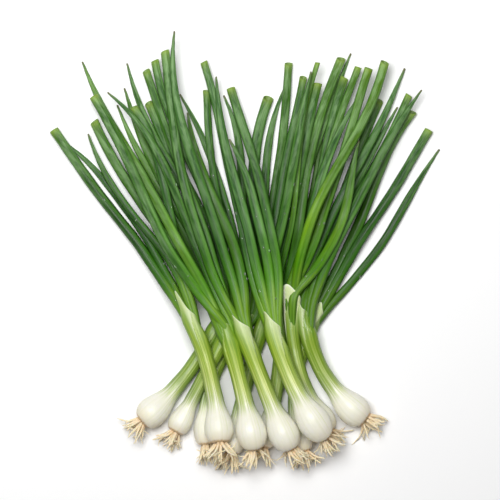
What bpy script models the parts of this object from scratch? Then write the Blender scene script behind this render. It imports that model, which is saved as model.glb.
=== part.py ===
"""A bunch of twelve spring onions lying loose on a table, tips cut and spread like a fan.

Each onion is one solid: a tuft of roots, a white bulb and the long pale stem up to its fork.
Every leaf that grows out of a fork is a solid of its own.  The onions are laid one after the
other, and a strand rests on the table or on whatever already lies under it.

+X runs across the bunch, +Y towards the leaf tips and +Z up.  The origin is on the table,
under the middle of the bunch's box.  The layout below is in millimetres.
"""

import math
from collections import namedtuple

import bmesh
import bpy
import numpy as np
from mathutils import Matrix, Vector

MM = 0.001                 # Blender's metres in one millimetre

CLEAR = 0.6                # gap kept between two strands that touch in life
PRESSED = 1.0              # how far a bulb's round side flattens on the table
STEP = 2.0                 # distance between the points at which a strand is laid
FINE_STEPS = 400           # points worked out along a curve before they are spaced evenly
STRAIGHT = 0.42            # how far a solid's straight pieces may stray from its curve

NECK = 2.1                 # from the widest part up to the even stem, in bulb radii
PLATE_RADIUS = 4.6         # the hard disc that the roots grow from

ROOT_LENGTH = 15.0         # of the tuft, past the root plate
ROOT_SPREAD = 6.4          # radius that the tuft stays within
ROOT_RADII = (1.15, 0.5)   # one root, at the plate and at its tip
ROOT_DEPTH = 4.0           # how deep a root starts inside the bulb
ROOT_RING = 5              # roots in the ring round the middle one
ROOT_SIDES = 5             # faces round one root
ROOT_STAGGER = 1.5         # step between the lengths of neighbouring roots
RING_SHARE = 0.85          # of the plate's radius, where the ring of roots stands

SLAB_SIZE = 600.0          # the block that stands for the table while a bulb is flattened
SLAB_DEPTH = 20.0
WELD = 0.01                # points nearer to each other than this become one

LEAF_BASE_RADIUS = 0.75    # leaves start slim, side by side in the fork
LEAF_OPENS = 80.0          # distance in which a leaf reaches its full width
CUT_TAPER = 0.86           # a cut end's share of the leaf's full radius
POINT_RADIUS = 0.7         # of a leaf's dried natural tip
POINT_SHARE = 0.45         # the share of the leaf that narrows to that tip

STEM_STIFFNESS = 20.0      # length over which a stem evens out its bends
LEAF_STIFFNESS = 14.0      # the same for a leaf
SAG = 0.25                 # weight's pull on a strand in each sweep
SWEEPS = 60                # rounds of evening out, until a strand lies still
STEEPEST = 0.4             # slope with which a leaf may leave its fork

STEM_SIDES = 3             # bevel resolution, ten sides
LEAF_SIDES = 2             # bevel resolution, eight sides

WHITE_SKIN = ((0.80, 0.84, 0.62, 1.0), 0.35)
GREEN_BLADE = ((0.13, 0.30, 0.07, 1.0), 0.40)

Onion = namedtuple("Onion", "bulb low middle fork bulb_radius stem_radius leaves")
Leaf = namedtuple("Leaf", "near far tip radius end")
Strand = namedtuple("Strand", "line radii heights")

# From the first onion laid to the last.  `bulb` is the middle of its widest part, and `low` the
# distance from there down to the root plate in bulb radii.  A leaf passes two points on its way
# to its tip.
BUNCH = [
    Onion((-79, -130.5), 0.9, (-43, -90), (-22, -52), 12.2, 5.3, [
        Leaf((-31, 12), (-58, 69), (-82, 118), 3.7, "cut"),
        Leaf((-39, 22), (-74, 88), (-100, 150), 3.4, "pointed"),
        Leaf((-51, 9), (-82, 65), (-106, 117), 3.5, "pointed"),
        Leaf((-47, 12), (-79, 74), (-102, 130), 3.8, "pointed")]),
    Onion((-35.8, -145), 1.1, (-23, -86), (2, -52), 9.7, 5.0, [
        Leaf((1, 12), (5, 78), (15, 122), 4.6, "cut"),
        Leaf((9, 14), (15, 80), (28, 130), 3.7, "pointed"),
        Leaf((17, 20), (25, 89), (31.5, 150), 3.7, "cut")]),
    Onion((-55.4, -137.4), 1.15, (-32, -93), (-10, -52), 9.5, 4.8, [
        Leaf((-12, 12), (-31, 73), (-57, 125), 3.1, "pointed"),
        Leaf((-19, 13), (-31, 74), (-36, 128), 3.3, "cut"),
        Leaf((-5, 12), (-7, 73), (-22, 124), 3.8, "pointed")]),
    Onion((13, -147), 1.1, (24, -96), (26, -52), 10.0, 5.0, [
        Leaf((44, 12), (52.5, 60), (59.5, 103), 3.8, "pointed"),
        Leaf((36, 26), (57, 98), (82, 158), 3.6, "pointed"),
        Leaf((47, 19), (61, 83), (77, 138), 4.0, "cut"),
        Leaf((51, 23), (67, 90), (86, 147), 3.2, "cut"),
        Leaf((40, 24), (53.4, 95), (72.5, 154), 4.0, "cut")]),
    Onion((-13, -152), 1.1, (0, -96), (13, -50), 9.8, 4.8, [
        Leaf((20, 18), (32, 83), (42, 139), 3.3, "cut"),
        Leaf((29, 17), (43, 80), (55, 133), 4.1, "cut"),
        Leaf((33, 23), (42, 92), (54, 150), 2.3, "cut"),
        Leaf((24, 19), (38, 84), (49, 142), 4.2, "pointed")]),
    Onion((39.8, -150.8), 1.1, (39, -92), (58, -46), 10.4, 5.0, [
        Leaf((82, 9), (104.5, 64), (131, 110.5), 4.4, "cut"),
        Leaf((99, -4), (128.5, 41), (152.5, 81), 3.3, "pointed"),
        Leaf((88, 6), (118, 54), (145, 96), 4.1, "cut")]),
    Onion((83.3, -128), 1.05, (53, -87), (45, -46), 12.7, 5.5, [
        Leaf((62, 15), (85, 70), (105, 120), 3.4, "cut"),
        Leaf((67, 13), (92, 68), (119, 115), 3.2, "pointed"),
        Leaf((71, 18), (102, 73), (129, 124), 3.3, "cut"),
        Leaf((75, 19), (106, 77), (138, 128), 3.9, "pointed")]),
    Onion((57.6, -136.2), 1.15, (38, -90), (34, -36), 11.0, 4.7, [
        Leaf((48, 22), (64, 77), (85, 122), 3.8, "pointed"),
        Leaf((68, 29), (98.5, 91), (125, 146), 3.5, "pointed"),
        Leaf((60, 29), (77.5, 90), (95.5, 145), 3.9, "cut"),
        Leaf((52, 30), (84, 93), (108, 150), 4.2, "cut"),
        Leaf((64, 3), (79, 47), (88, 87), 3.9, "pointed")]),
    Onion((-24.5, -143), 0.9, (-36, -84), (-50, -46), 11.5, 5.5, [
        Leaf((-61, 14), (-72, 70), (-94, 114), 3.7, "cut"),
        Leaf((-82, 7), (-113.5, 53), (-150, 86), 3.2, "pointed"),
        Leaf((-76, 8), (-110, 51), (-131, 93), 3.0, "pointed"),
        Leaf((-90, 4), (-126, 53), (-158.5, 96), 4.4, "cut")]),
    Onion((1, -145), 1.15, (-10, -96), (-20, -62), 12.4, 5.5, [
        Leaf((-59, 2), (-97, 52), (-126, 103), 4.4, "cut"),
        Leaf((-61, 14), (-103, 86), (-134, 152), 3.9, "pointed"),
        Leaf((-63, 0), (-96, 65), (-125, 123.5), 4.3, "cut"),
        Leaf((-45, 11), (-74, 77), (-114, 126), 3.6, "pointed")]),
    Onion((27, -146), 1.1, (5, -92), (-8, -56), 12.5, 5.8, [
        Leaf((-37, 14), (-62, 85), (-84, 144), 3.5, "cut"),
        Leaf((-28, 22), (-57.5, 91), (-75.5, 152.5), 3.6, "cut"),
        Leaf((-14, 6), (-36, 60), (-51, 110), 4.5, "pointed"),
        Leaf((-43, 17), (-59, 92), (-69, 159), 4.2, "cut"),
        Leaf((-31, 27), (-55, 104), (-60, 175), 4.0, "pointed")]),
    Onion((50.5, -136), 1.25, (26, -87), (17, -54), 12.8, 6.0, [
        Leaf((-8, 22), (-21, 90), (-38, 151), 3.4, "cut"),
        Leaf((19, 10), (1, 75), (-15, 130), 4.0, "cut"),
        Leaf((-2, 14), (-18, 80), (-27, 139), 4.1, "pointed"),
        Leaf((13, 0), (1, 47), (-17, 88), 4.1, "pointed")]),
]


# --- the way a strand runs, seen from above --------------------------------------------------

def line_through(points, before=0.0):
    """Evenly spaced points on the polynomial through the given ones, from `before` ahead of the first."""
    points = np.array(points, float)
    chord = np.r_[0.0, np.cumsum(np.linalg.norm(np.diff(points, axis=0), axis=1))]
    polynomial = np.polyfit(chord, points, len(points) - 1)
    fine = np.linspace(-2.0 * before, chord[-1], FINE_STEPS)
    curve = sum(row * fine[:, None] ** power for power, row in enumerate(polynomial[::-1]))
    along = np.r_[0.0, np.cumsum(np.linalg.norm(np.diff(curve, axis=0), axis=1))]
    start = np.interp(0.0, fine, along) - before
    even = np.linspace(start, along[-1], round((along[-1] - start) / STEP) + 1)
    return np.stack([np.interp(even, along, curve[:, axis]) for axis in (0, 1)], axis=1)


def distances(line):
    return np.r_[0.0, np.cumsum(np.linalg.norm(np.diff(line, axis=0), axis=1))]


# --- how thick a strand is along its length --------------------------------------------------

def onion_radii(onion, along):
    """Root tuft, then a half ellipse up to the belly, then a smooth neck into the even stem."""
    belly = ROOT_LENGTH + onion.low * onion.bulb_radius
    below = np.clip((belly - along) / (belly - ROOT_LENGTH), 0.0, 1.0)
    above = np.clip((along - belly) / (NECK * onion.bulb_radius), 0.0, 1.0)
    bulb = PLATE_RADIUS + (onion.bulb_radius - PLATE_RADIUS) * np.sqrt(1.0 - below ** 2)
    swelling = 1.0 - above * above * (3.0 - 2.0 * above)
    radii = onion.stem_radius + (bulb - onion.stem_radius) * swelling
    return np.where(along < ROOT_LENGTH, ROOT_SPREAD, radii)


def leaf_radii(leaf, along):
    """A slim base that opens to the full tube, and a tip that is cut off or runs out to a point."""
    share = along / along[-1]
    opened = np.clip(along / LEAF_OPENS, 0.0, 1.0)
    opened = opened * opened * (3.0 - 2.0 * opened)
    if leaf.end == "cut":
        full = leaf.radius * (1.0 - (1.0 - CUT_TAPER) * share ** 2)
    else:
        closing = np.clip((share - 1.0 + POINT_SHARE) / POINT_SHARE, 0.0, 1.0)
        full = POINT_RADIUS + (leaf.radius - POINT_RADIUS) * (1.0 - closing ** 2)
    return LEAF_BASE_RADIUS + (full - LEAF_BASE_RADIUS) * opened


# --- laying a strand on the heap -------------------------------------------------------------

def resting_heights(line, radii, laid):
    """The lowest that each centre can be: on the table, or over each round strand that it crosses."""
    lowest = radii.copy()
    for other in laid:
        apart = ((line[:, None] - other.line[None]) ** 2).sum(axis=2)
        reach = (radii[:, None] + other.radii[None] + CLEAR) ** 2 - apart
        over = np.where(reach > 0.0, other.heights[None] + np.sqrt(np.maximum(reach, 0.0)), 0.0)
        lowest = np.maximum(lowest, over.max(axis=1))
    return lowest


def settled(lowest, stiffness, sag, start=None):
    """A stiff strand's heights: evened out again and again, never lower than what it lies on."""
    reach = int(3.0 * stiffness / STEP)
    bell = np.exp(-0.5 * (np.arange(-reach, reach + 1) * STEP / stiffness) ** 2)
    bell /= bell.sum()
    heights = lowest.copy()
    for _ in range(SWEEPS):
        even = np.convolve(np.pad(heights, reach, mode="edge"), bell, mode="valid")
        heights = np.maximum(lowest, even - sag)
        if start is not None:
            heights[0] = start
    return heights


def leaf_lines(onion, stem):
    """Each leaf's line from its own place in the fork, the places in the order in which they fan out."""
    heading = stem[-1] - stem[-2]
    heading /= np.linalg.norm(heading)
    side = np.array([-heading[1], heading[0]])
    leans = [float(side @ (np.array(leaf.far) - stem[-1])) for leaf in onion.leaves]
    places = np.argsort(np.argsort(leans))
    width = onion.stem_radius - LEAF_BASE_RADIUS
    offsets = np.linspace(-width, width, len(onion.leaves))
    start = stem[-1] + heading * 2.0 * CLEAR
    return [line_through([start + side * offsets[place], leaf.near, leaf.far, leaf.tip])
            for leaf, place in zip(onion.leaves, places)]


def lay_onion(onion, laid):
    """Lays the stem and then its leaves on the heap, and returns their strands."""
    stem = line_through([onion.bulb, onion.middle, onion.fork],
                        before=ROOT_LENGTH + onion.low * onion.bulb_radius)
    radii = onion_radii(onion, distances(stem))
    lowest = resting_heights(stem, radii, laid) - PRESSED * (radii == radii.max())
    lines = leaf_lines(onion, stem)
    widths = [leaf_radii(leaf, distances(line)) for leaf, line in zip(onion.leaves, lines)]
    for line, width in zip(lines, widths):
        near = distances(line) < LEAF_OPENS
        needed = resting_heights(line, width, laid) - STEEPEST * distances(line)
        lowest[-1] = max(lowest[-1], needed[near].max())
    weight = SAG * radii / onion.stem_radius
    strands = [Strand(stem, radii, settled(lowest, STEM_STIFFNESS, weight))]
    for line, width in zip(lines, widths):
        lowest = resting_heights(line, width, laid + strands[1:])
        heights = settled(lowest, LEAF_STIFFNESS, SAG, start=strands[0].heights[-1])
        strands.append(Strand(line, width, heights))
    return strands


# --- solids ----------------------------------------------------------------------------------

def fewest_points(points):
    """The indices that still follow the curve and its width to within STRAIGHT."""
    first, last = points[0], points[-1]
    share = np.linspace(0.0, 1.0, len(points))[:, None]
    strays = np.linalg.norm(points - first - share * (last - first), axis=1)
    worst = int(strays.argmax())
    if strays[worst] < STRAIGHT:
        return [0, len(points) - 1]
    before = fewest_points(points[:worst + 1])
    after = fewest_points(points[worst:])
    return before + [worst + index for index in after[1:]]


def new_collection(name):
    collection = bpy.data.collections.new(name)
    bpy.context.scene.collection.children.link(collection)
    return collection


def skin(name, finish):
    """One Principled material, with a colour and a roughness."""
    colour, roughness = finish
    material = bpy.data.materials.new(name + "_skin")
    material.use_nodes = True
    shader = material.node_tree.nodes["Principled BSDF"]
    shader.inputs["Base Color"].default_value = colour
    shader.inputs["Roughness"].default_value = roughness
    shader.inputs["Metallic"].default_value = 0.0
    material.diffuse_color = colour
    return material


def tube(name, points, radii, sides, finish, collection):
    """A round tube with closed ends along the points, its radius given at each of them."""
    kept = fewest_points(np.c_[points, radii])
    curve = bpy.data.curves.new(name, "CURVE")
    curve.dimensions = "3D"
    curve.bevel_depth = MM
    curve.bevel_resolution = sides
    curve.use_fill_caps = True
    spline = curve.splines.new("POLY")
    spline.points.add(len(kept) - 1)
    for point, index in zip(spline.points, kept):
        point.co = (*(points[index] * MM), 1.0)
        point.radius = radii[index]
    curve.materials.append(skin(name, finish))
    piece = bpy.data.objects.new(name, curve)
    collection.objects.link(piece)
    return piece


def solid_from_tube(piece, collection):
    """The tube as a mesh with its caps welded on, which can be cut and joined."""
    name = piece.name
    graph = bpy.context.evaluated_depsgraph_get()
    mesh = bpy.data.meshes.new_from_object(piece.evaluated_get(graph))
    shape = bmesh.new()
    shape.from_mesh(mesh)
    bmesh.ops.remove_doubles(shape, verts=shape.verts, dist=WELD * MM)
    bmesh.ops.recalc_face_normals(shape, faces=shape.faces)
    shape.to_mesh(mesh)
    shape.free()
    place = piece.matrix_world.copy()
    bpy.data.objects.remove(piece)
    solid = bpy.data.objects.new(name, mesh)
    solid.matrix_world = place
    mesh.name = name
    mesh.shade_smooth()
    collection.objects.link(solid)
    return solid


def root_tuft(name, plate, heading, helpers):
    """Tapered roots that fan out of the plate: one in the middle and a ring round it."""
    shape = bmesh.new()
    turn = heading.to_track_quat("Z", "Y").to_matrix()
    depth = ROOT_LENGTH + ROOT_DEPTH
    for index in range(ROOT_RING + 1):
        around = 2.0 * math.pi * index / ROOT_RING
        out = Vector((math.cos(around), math.sin(around), 0.0)) if index < ROOT_RING else Vector()
        foot = out * (PLATE_RADIUS - ROOT_RADII[0]) * RING_SHARE - Vector((0.0, 0.0, ROOT_DEPTH))
        reach = ROOT_LENGTH - ROOT_STAGGER * (index % 3)
        tip = out * (ROOT_SPREAD - ROOT_RADII[1]) + Vector((0.0, 0.0, reach))
        lean = (tip - foot).to_track_quat("Z", "Y").to_matrix()
        middle = plate + turn @ (foot + tip) / 2.0
        place = Matrix.Translation(middle * MM) @ (turn @ lean).to_4x4()
        bmesh.ops.create_cone(shape, cap_ends=True, segments=ROOT_SIDES,
                              radius1=ROOT_RADII[0] * MM, radius2=ROOT_RADII[1] * MM,
                              depth=(tip - foot).length * MM, matrix=place)
    mesh = bpy.data.meshes.new(name + "_tuft")
    shape.to_mesh(mesh)
    shape.free()
    return helper(name + "_tuft", mesh, helpers)


def helper(name, mesh, helpers):
    piece = bpy.data.objects.new(name, mesh)
    piece.hide_render = True
    piece.display_type = "WIRE"
    helpers.objects.link(piece)
    return piece


def table_slab(helpers):
    """The block below the table's surface, which flattens the bulbs that lie on it."""
    shape = bmesh.new()
    bmesh.ops.create_cube(shape, size=1.0)
    bmesh.ops.scale(shape, verts=shape.verts, vec=(SLAB_SIZE * MM, SLAB_SIZE * MM, SLAB_DEPTH * MM))
    bmesh.ops.translate(shape, verts=shape.verts, vec=(0.0, 0.0, -SLAB_DEPTH * MM / 2.0))
    mesh = bpy.data.meshes.new("table_slab")
    shape.to_mesh(mesh)
    shape.free()
    return helper("table_slab", mesh, helpers)


def boolean(piece, operation, other):
    modifier = piece.modifiers.new(operation.lower(), "BOOLEAN")
    modifier.operation = operation
    modifier.solver = "EXACT"
    modifier.object = other


def onion_solid(name, strand, parts, helpers, slab):
    """Bulb and stem turned along the strand, with the roots joined on and the underside flat."""
    points = np.c_[strand.line, strand.heights]
    plate = int((distances(strand.line) < ROOT_LENGTH).sum())
    piece = tube(name, points[plate:], strand.radii[plate:], STEM_SIDES, WHITE_SKIN, parts)
    piece = solid_from_tube(piece, parts)
    heading = Vector(points[plate] - points[plate + 1]).normalized()
    boolean(piece, "UNION", root_tuft(name, Vector(points[plate]), heading, helpers))
    boolean(piece, "DIFFERENCE", slab)


def centre_on_table(pieces, helpers):
    """Moves everything so that the origin is under the middle of the bunch's box."""
    graph = bpy.context.evaluated_depsgraph_get()
    corners = []
    for piece in pieces:
        evaluated = piece.evaluated_get(graph)
        points = np.array([vertex.co for vertex in evaluated.to_mesh().vertices])
        corners += [points.min(axis=0), points.max(axis=0)]
        evaluated.to_mesh_clear()
    low, high = np.min(corners, axis=0), np.max(corners, axis=0)
    for piece in [*pieces, *helpers]:
        piece.location = (-(low[0] + high[0]) / 2.0, -(low[1] + high[1]) / 2.0, -low[2])


def build():
    for old in list(bpy.data.objects):
        bpy.data.objects.remove(old)
    parts = new_collection("spring_onion_bunch")
    helpers = new_collection("joining_and_cutting")
    slab = table_slab(helpers)
    laid = []
    for number, onion in enumerate(BUNCH, start=1):
        name = f"onion_{number:02d}"
        strands = lay_onion(onion, laid)
        onion_solid(name, strands[0], parts, helpers, slab)
        for leaf_number, strand in enumerate(strands[1:], start=1):
            tube(f"{name}_leaf_{leaf_number}", np.c_[strand.line, strand.heights], strand.radii,
                 LEAF_SIDES, GREEN_BLADE, parts)
        laid += strands
    centre_on_table(parts.objects, helpers.objects)


build()
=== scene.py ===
import math

import bpy
import numpy as np
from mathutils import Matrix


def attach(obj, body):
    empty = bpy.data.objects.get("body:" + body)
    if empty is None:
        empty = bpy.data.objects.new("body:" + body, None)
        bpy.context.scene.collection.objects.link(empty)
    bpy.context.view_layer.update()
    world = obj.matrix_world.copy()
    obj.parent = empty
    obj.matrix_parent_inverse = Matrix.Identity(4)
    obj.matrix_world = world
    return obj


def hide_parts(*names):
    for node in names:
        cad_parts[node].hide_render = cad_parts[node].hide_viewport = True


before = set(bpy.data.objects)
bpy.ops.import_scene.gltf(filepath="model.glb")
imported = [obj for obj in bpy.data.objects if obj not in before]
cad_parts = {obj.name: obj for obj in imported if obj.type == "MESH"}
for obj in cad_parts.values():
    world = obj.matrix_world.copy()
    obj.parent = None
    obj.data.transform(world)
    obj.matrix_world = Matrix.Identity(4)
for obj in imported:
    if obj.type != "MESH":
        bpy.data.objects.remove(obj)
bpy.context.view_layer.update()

# ------------------------------------------------------------
# The leaves.
# Hollow green tubes, a little flattened and never quite round: some end in a thin dry point, the
# others were cut across. They lie in a heap, each bent by the ones under it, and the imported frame
# holds that heap: a leaf follows the middle line and the thickness of its own solid.
# ------------------------------------------------------------

SLICE_STEP = 0.0015         # between two cuts through a solid
TOO_SMALL = 0.0000004       # a cut of less area than this missed the solid
END_MARGIN = 0.0025         # a cut nearer to an end than this may clip the end face
OCTAGON_SHARE = 2.828       # area of an eight-sided ring over its radius squared
DECAGON_SHARE = 2.939       # the same for a ten-sided ring
LINE_STEP = 0.001           # between two points of a finished middle line
LINE_REACH = 0.004          # how widely a leaf's line is evened out
ONION_REACH = 0.003         # the same for an onion's, which bends more
END_FACE = 0.0003           # corners as near to the tip as this belong to the end face
FAR = 9.0                   # farther off than any corner


def corners_of(node):
    """The node's triangles as an array: triangle, corner, xyz."""
    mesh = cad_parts[node].data
    mesh.calc_loop_triangles()
    points = np.empty(len(mesh.vertices) * 3, np.float32)
    mesh.vertices.foreach_get("co", points)
    corners = np.empty(len(mesh.loop_triangles) * 3, np.int32)
    mesh.loop_triangles.foreach_get("vertices", corners)
    return points.astype(float).reshape(-1, 3)[corners].reshape(-1, 3, 3)


def unit(rows):
    """Each row over its own length."""
    return rows / np.linalg.norm(rows, axis=-1, keepdims=True)


def sliced(corners, places, headings):
    """Middle point, area and half the level width of the cut through each place.

    The cut is square to its heading, and a triangle that it meets gives one short segment p to q
    of the outline. Half the sum of the cross products p x q is the area, and the sum of
    (p + q)(p x q) over six areas is the middle.
    """
    side = unit(np.cross(headings, (0.0, 0.0, 1.0)))
    up = np.cross(side, headings)
    heights = (places * headings).sum(1)
    above = np.einsum("tcx,sx->stc", corners, headings) - heights[:, None, None]
    flat = np.stack([np.einsum("tcx,sx->stc", corners, side),
                     np.einsum("tcx,sx->stc", corners, up)], axis=-1)
    leaves_at, enters_at = np.zeros((2, *above.shape[:2], 2))
    right, left = np.full(len(places), -FAR), np.full(len(places), FAR)
    for corner in range(3):
        following = (corner + 1) % 3
        this, then = above[..., corner], above[..., following]
        gap = np.where(this == then, 1.0, this - then)
        share = (this / gap)[..., None]
        point = flat[:, :, corner] + (flat[:, :, following] - flat[:, :, corner]) * share
        rising = ((this < 0) & (then >= 0))[..., None]
        falling = ((this >= 0) & (then < 0))[..., None]
        enters_at += np.where(rising, point, 0.0)
        leaves_at += np.where(falling, point, 0.0)
        right = np.maximum(right, np.where(rising[..., 0], point[..., 0], -FAR).max(1))
        left = np.minimum(left, np.where(rising[..., 0], point[..., 0], FAR).min(1))
    turn = leaves_at[..., 0] * enters_at[..., 1] - leaves_at[..., 1] * enters_at[..., 0]
    area = turn.sum(1) / 2
    held = np.where(np.abs(area) < 1e-9, 1e-9, area)
    middle = ((leaves_at + enters_at) * turn[..., None]).sum(1) / (6 * held[:, None])
    line = middle[:, :1] * side + middle[:, 1:] * up + heights[:, None] * headings
    return line, np.abs(area), (right - left) / 2


def eased(rows, step, reach):
    """Rounds the corners of evenly spaced rows with a bell-shaped average `reach` wide.

    Both ends are first carried on as their own mirror image turned over, so they stay in place.
    """
    half = min(int(3 * reach / step), len(rows) - 2)
    head = 2 * rows[:1] - rows[half:0:-1]
    tail = 2 * rows[-1:] - rows[-2:-half - 2:-1]
    longer = np.concatenate([head, rows, tail])
    bell = np.exp(-0.5 * (np.arange(-half, half + 1) * step / reach) ** 2)
    bell /= bell.sum()
    return np.stack([np.convolve(column, bell, "valid") for column in longer.T], axis=1)


def path_through(points, radii, reach):
    """An even path: distance from its start, middle, radius, and the ways ahead, aside and up."""
    gaps = np.linalg.norm(np.diff(points, axis=0), axis=1)
    run = np.concatenate([[0.0], np.cumsum(gaps)])
    count = max(int(run[-1] / LINE_STEP), 12)
    even = np.linspace(0.0, run[-1], count + 1)
    rows = np.column_stack([points, radii])
    rows = np.stack([np.interp(even, run, column) for column in rows.T], axis=1)
    rows = eased(rows, even[1], reach)
    ahead = unit(np.gradient(rows[:, :3], even, axis=0))
    aside = unit(np.cross(ahead, (0.0, 0.0, 1.0)))
    return {"run": even, "middle": rows[:, :3], "radius": rows[:, 3], "ahead": ahead,
            "aside": aside, "up": np.cross(aside, ahead)}


def strand_path(node, ring_share, plate_area=0.0):
    """The path through a strand's solid, from its lower end to its upper one.

    It is first cut square to the straight line between its ends, then twice more square to the
    line that the last cuts gave. The radius at a cut is the root of its area over the ring's
    share. Cuts smaller than `plate_area` before the first larger one are roots and are left out.
    """
    corners = corners_of(node)
    points = corners.reshape(-1, 3)
    low = points[points[:, 1] < points[:, 1].min() + END_MARGIN].mean(0)
    high = points[points[:, 1] > points[:, 1].max() - END_MARGIN].mean(0)
    heading = (high - low) / np.linalg.norm(high - low)
    heights = np.arange(END_MARGIN, np.linalg.norm(high - low) - END_MARGIN, SLICE_STEP)
    line = low + heights[:, None] * heading
    ahead = np.broadcast_to(heading, line.shape)
    for _ in range(3):
        line, area, _ = sliced(corners, line, ahead)
        first = int(np.argmax(area > max(plate_area, TOO_SMALL)))
        last = len(area) - int(np.argmax(area[::-1] > TOO_SMALL))
        line = eased(line[first:last], SLICE_STEP, LINE_REACH)
        if plate_area > 0.0:
            back = SLICE_STEP * np.arange(6, 0, -1)[:, None]
            line = np.concatenate([line[:1] - back * (line[4] - line[0]) / (4 * SLICE_STEP), line])
        ahead = unit(np.gradient(line, axis=0))
    line, area, _ = sliced(corners, line, ahead)
    first = int(np.argmax(area > max(plate_area, TOO_SMALL)))
    line, area, ahead = line[first:], area[first:], ahead[first:]
    radius = np.sqrt(area / ring_share)
    left = ((points - line[-1]) @ ahead[-1]).max()
    tip = line[-1] + ahead[-1] * left
    near_tip = points[(points - tip) @ ahead[-1] > -END_FACE]
    tip_radius = np.linalg.norm(near_tip - tip, axis=1).mean()
    line = np.concatenate([line, [tip]])
    radius = np.append(radius, tip_radius)
    if plate_area == 0.0:
        back = ((line[0] - points) @ ahead[0]).max()
        line = np.concatenate([[line[0] - ahead[0] * back], line])
        radius = np.append(radius[0] * 0.8, radius)
    return path_through(line, radius, ONION_REACH if plate_area > 0.0 else LINE_REACH), tip_radius


def read(path, row, run):
    """One of the path's rows at any distances along it, held at its ends."""
    held = np.clip(run, 0.0, path["run"][-1])
    if path[row].ndim == 1:
        return np.interp(held, path["run"], path[row])
    return np.stack([np.interp(held, path["run"], column) for column in path[row].T], axis=-1)


def around(path, run, angle, wide, high, aside=0.0, above=0.0):
    """Points round a path: its middle, plus aside + wide cos(angle) sideways, plus above + high
    sin(angle) upwards. Distances past an end carry on in a straight line."""
    past = run - np.clip(run, 0.0, path["run"][-1])
    middle = read(path, "middle", run) + read(path, "ahead", run) * past[..., None]
    sideways = aside + wide * np.cos(angle)
    upwards = above + high * np.sin(angle)
    return (middle + read(path, "aside", run) * sideways[..., None]
            + read(path, "up", run) * upwards[..., None])


def rising(value, start, end):
    """0 before start, 1 after end, and a smooth S between them."""
    share = np.clip((value - start) / (end - start), 0.0, 1.0)
    return share * share * (3.0 - 2.0 * share)


def ring_angles(cols):
    """Angles round a ring, from its underside."""
    return 2 * np.pi * (np.arange(cols) / cols) - np.pi / 2


def off(angle, facing):
    """How far an angle is off a facing, the shorter way round."""
    return np.angle(np.exp(1j * (angle - facing)))


def placed(name, data):
    """A new object of the scene, at its origin."""
    thing = bpy.data.objects.new(name, data)
    bpy.context.scene.collection.objects.link(thing)
    return thing


def closed_tubes(name, grid, run, marks, finish):
    """One mesh of closed tubes out of a grid: tube, ring, point on the ring, xyz.

    Neighbouring rings are joined by four-cornered faces and each end ring by a fan to its middle.
    What would sink into the table is pressed flat on it.
    The map "skin" holds the turn round the tube, 0 to 1, and the run along it in metres.
    `marks` are values at the points that the finish reads by name.
    """
    tubes, rings, cols = grid.shape[:3]
    index = np.arange(tubes * rings * cols).reshape(tubes, rings, cols)
    following = np.roll(index, -1, axis=2)
    wall = np.stack([index[:, :-1], index[:, 1:], following[:, 1:], following[:, :-1]], -1)
    foot = tubes * rings * cols + np.arange(tubes)[:, None] + np.zeros((1, cols), int)
    head = foot + tubes
    foot_fan = np.stack([foot, index[:, 0], following[:, 0]], -1)
    head_fan = np.stack([head, following[:, -1], index[:, -1]], -1)
    points = np.concatenate([grid.reshape(-1, 3), grid[:, 0].mean(1), grid[:, -1].mean(1)])
    points[:, 2] = np.maximum(points[:, 2], 0.0)
    faces = wall.reshape(-1, 4).tolist()
    faces += foot_fan.reshape(-1, 3).tolist() + head_fan.reshape(-1, 3).tolist()
    mesh = bpy.data.meshes.new(name)
    mesh.from_pydata(points.tolist(), [], faces)
    turn = np.broadcast_to(np.arange(cols) / cols, (tubes, rings, cols))
    step = 1.0 / cols
    wall_turn = np.stack([turn[:, :-1], turn[:, 1:], turn[:, 1:] + step, turn[:, :-1] + step], -1)
    ahead = np.roll(run, -1, axis=2)
    wall_run = np.stack([run[:, :-1], run[:, 1:], ahead[:, 1:], ahead[:, :-1]], -1)
    foot_turn = np.stack([turn[:, 0] + step / 2, turn[:, 0], turn[:, 0] + step], -1)
    head_turn = np.stack([turn[:, 0] + step / 2, turn[:, 0] + step, turn[:, 0]], -1)
    foot_run = np.stack([run[:, 0], run[:, 0], ahead[:, 0]], -1)
    head_run = np.stack([run[:, -1], ahead[:, -1], run[:, -1]], -1)
    turns = np.concatenate([part.ravel() for part in (wall_turn, foot_turn, head_turn)])
    runs = np.concatenate([part.ravel() for part in (wall_run, foot_run, head_run)])
    skin = mesh.uv_layers.new(name="skin")
    skin.uv.foreach_set("vector", np.stack([turns, runs], -1).astype(np.float32).ravel())
    for mark, value in marks.items():
        value = np.broadcast_to(value, (tubes, rings, cols))
        ends = [value.ravel(), value[:, 0].mean(1), value[:, -1].mean(1)]
        layer = mesh.attributes.new(mark, "FLOAT", "POINT")
        layer.data.foreach_set("value", np.concatenate(ends).astype(np.float32))
    mesh.polygons.foreach_set("use_smooth", np.ones(len(mesh.polygons), bool))
    mesh.update()
    mesh.materials.append(finish)
    piece = placed(name, mesh)
    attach(piece, "root")
    return piece


# Leaf and stem are living tissue: fine veins run lengthwise under a thin coat of wax that has
# bloomed in places and is rubbed off in others. On the leaves the bloom is laid mostly on the upper
# side, as a painted highlight.

def put(tree, kind, sockets=None, **settings):
    """Adds a shader node. A socket given another node's output is linked, any other is set."""
    node = tree.nodes.new(kind)
    for setting, value in settings.items():
        setattr(node, setting, value)
    for socket, value in (sockets or {}).items():
        if isinstance(value, bpy.types.NodeSocket):
            tree.links.new(value, node.inputs[socket])
        else:
            node.inputs[socket].default_value = value
    return node


def reckon(tree, operation, first, second=0.0, clamp=False):
    """One sum, product or other reckoning of two values."""
    node = put(tree, "ShaderNodeMath", {0: first, 1: second}, operation=operation, use_clamp=clamp)
    return node.outputs[0]


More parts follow.
